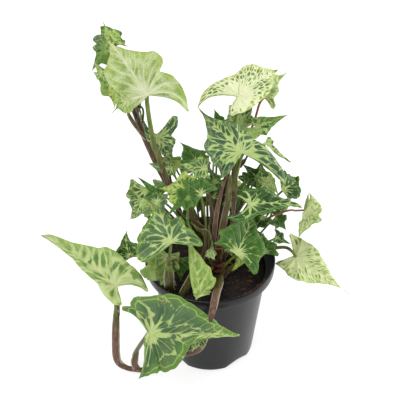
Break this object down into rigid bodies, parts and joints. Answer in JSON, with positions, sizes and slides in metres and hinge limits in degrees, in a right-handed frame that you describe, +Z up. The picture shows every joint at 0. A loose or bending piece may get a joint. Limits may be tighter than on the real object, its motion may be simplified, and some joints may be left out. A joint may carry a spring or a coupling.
{
  "type": "potted arrowhead plant",
  "caption": "Arrowhead houseplant in a round plastic nursery pot: arrow-shaped variegated leaves on thin stalks, a climbing stem and a vine that trails over the rim.",
  "frame": {"origin": "centre of the pot's flat underside", "axes": "+Z up along the pot's axis, +X to the viewer's right, +Y away from the viewer"},
  "size_m": [0.2862, 0.2142, 0.2988],
  "materials": {
    "pot_plastic": "satin black",
    "soil": "crumbly, damp",
    "stem": "satin",
    "leaf_pale": "satin, cream with green edges",
    "leaf_mixed": "satin, green with pale veins",
    "leaf_dark": "satin, dark green"
  },
  "bodies": {
    "root": {"pot": "pot_plastic", "soil": "soil", "stem_climber": "stem", "stem_crown": "stem", "stem_right": "stem", "stem_right_low": "stem", "stem_left": "stem", "stem_front": "stem", "stem_trailing": "stem", "leaf_climber_1": "leaf_pale", "leaf_climber_2": "leaf_mixed", "leaf_climber_3": "leaf_dark", "leaf_climber_4": "leaf_dark", "leaf_climber_5": "leaf_mixed", "leaf_climber_6": "leaf_mixed", "leaf_climber_7": "leaf_mixed", "leaf_crown_1": "leaf_mixed", "leaf_crown_2": "leaf_pale", "leaf_crown_3": "leaf_pale", "leaf_crown_4": "leaf_pale", "leaf_crown_5": "leaf_dark", "leaf_crown_6": "leaf_dark", "leaf_crown_7": "leaf_dark", "leaf_crown_8": "leaf_mixed", "leaf_crown_9": "leaf_mixed", "leaf_crown_10": "leaf_pale", "leaf_crown_11": "leaf_dark", "leaf_crown_12": "leaf_mixed", "leaf_right_1": "leaf_dark", "leaf_right_2": "leaf_dark", "leaf_right_3": "leaf_pale", "leaf_right_4": "leaf_pale", "leaf_right_5": "leaf_dark", "leaf_right_6": "leaf_dark", "leaf_right_7": "leaf_dark", "leaf_right_8": "leaf_dark", "leaf_left_1": "leaf_mixed", "leaf_left_2": "leaf_pale", "leaf_left_3": "leaf_dark", "leaf_left_4": "leaf_dark", "leaf_left_5": "leaf_dark", "leaf_left_6": "leaf_dark", "leaf_left_7": "leaf_dark", "leaf_left_8": "leaf_mixed", "leaf_left_9": "leaf_dark", "leaf_front_1": "leaf_pale", "leaf_front_2": "leaf_mixed", "leaf_front_3": "leaf_dark", "leaf_front_4": "leaf_pale", "leaf_trailing_1": "leaf_mixed", "leaf_trailing_2": "leaf_pale", "leaf_back_1": "leaf_mixed", "leaf_back_2": "leaf_dark", "leaf_back_3": "leaf_mixed", "leaf_back_4": "leaf_pale", "leaf_back_5": "leaf_dark"}
  },
  "joints": []
}
